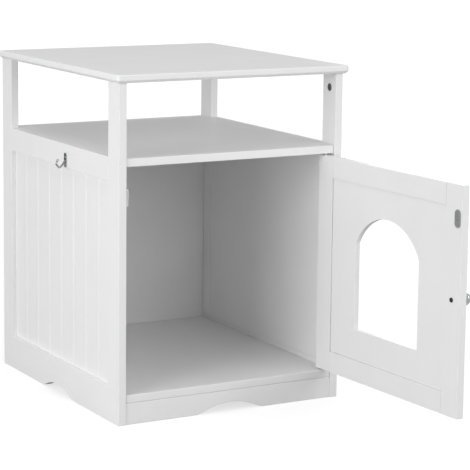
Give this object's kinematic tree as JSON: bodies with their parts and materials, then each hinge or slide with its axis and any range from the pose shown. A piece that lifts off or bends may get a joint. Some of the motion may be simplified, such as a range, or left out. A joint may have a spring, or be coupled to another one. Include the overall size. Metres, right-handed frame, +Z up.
{
  "type": "cat litter box cabinet",
  "caption": "White painted end-table cabinet that hides a cat litter tray: open shelf bay over a closed compartment, with a hinged frame door that has an arched cat entrance.",
  "frame": {"origin": "on the ground, in the middle of the box round the cabinet and its open door", "axes": "+Z up, +Y towards the back of the cabinet, +X to the right of someone facing its front"},
  "size_m": [0.5089, 0.9388, 0.638],
  "materials": {
    "painted_board": "solid wood and fibreboard under white semi-gloss paint",
    "white_plastic": "moulded, fine texture",
    "chrome": "polished",
    "steel": "zinc plated",
    "zinc": "die cast zinc, satin",
    "ferrite": "sintered magnet, matt"
  },
  "bodies": {
    "carcass": {"table_top": "painted_board", "left_front_stile": "painted_board", "left_rear_stile": "painted_board", "left_upper_rail": "painted_board", "left_bottom_rail": "painted_board", "left_bead_panel": "painted_board", "right_front_stile": "painted_board", "right_rear_stile": "painted_board", "right_upper_rail": "painted_board", "right_bottom_rail": "painted_board", "right_bead_panel": "painted_board", "shelf_board": "painted_board", "floor_board": "painted_board", "toe_board": "painted_board", "back_panel": "painted_board", "lower_pivot_bush": "white_plastic", "upper_pivot_bush": "white_plastic", "catch_housing": "white_plastic", "catch_magnet": "ferrite", "catch_screw_1": "steel", "catch_screw_2": "steel", "scoop_hook": "chrome", "hook_screw_1": "steel", "hook_screw_2": "steel", "top_left_front_cam": "zinc", "top_left_front_bolt": "steel", "top_left_rear_cam": "zinc", "top_left_rear_bolt": "steel", "top_right_front_cam": "zinc", "top_right_front_bolt": "steel", "top_right_rear_cam": "zinc", "top_right_rear_bolt": "steel", "shelf_left_front_cam": "zinc", "shelf_left_front_bolt": "steel", "shelf_left_rear_cam": "zinc", "shelf_left_rear_bolt": "steel", "shelf_right_front_cam": "zinc", "shelf_right_front_bolt": "steel", "shelf_right_rear_cam": "zinc", "shelf_right_rear_bolt": "steel", "floor_left_front_cam": "zinc", "floor_left_front_bolt": "steel", "floor_left_rear_cam": "zinc", "floor_left_rear_bolt": "steel", "floor_right_front_cam": "zinc", "floor_right_front_bolt": "steel", "floor_right_rear_cam": "zinc", "floor_right_rear_bolt": "steel"},
    "door": {"door_hinge_stile": "painted_board", "door_latch_stile": "painted_board", "door_top_rail": "painted_board", "door_bottom_rail": "painted_board", "door_arch_panel": "painted_board", "knob": "chrome", "knob_screw": "steel", "strike_plate": "steel", "strike_screw": "steel", "lower_pivot_pin": "steel", "upper_pivot_pin": "steel"}
  },
  "joints": [
    {"name": "door_hinge", "type": "hinge", "parent": "carcass", "child": "door", "pos_m": [0.2045, -0.04974, 0.26325], "axis": [0, 0, 1], "range_deg": [-93, 17]}
  ]
}
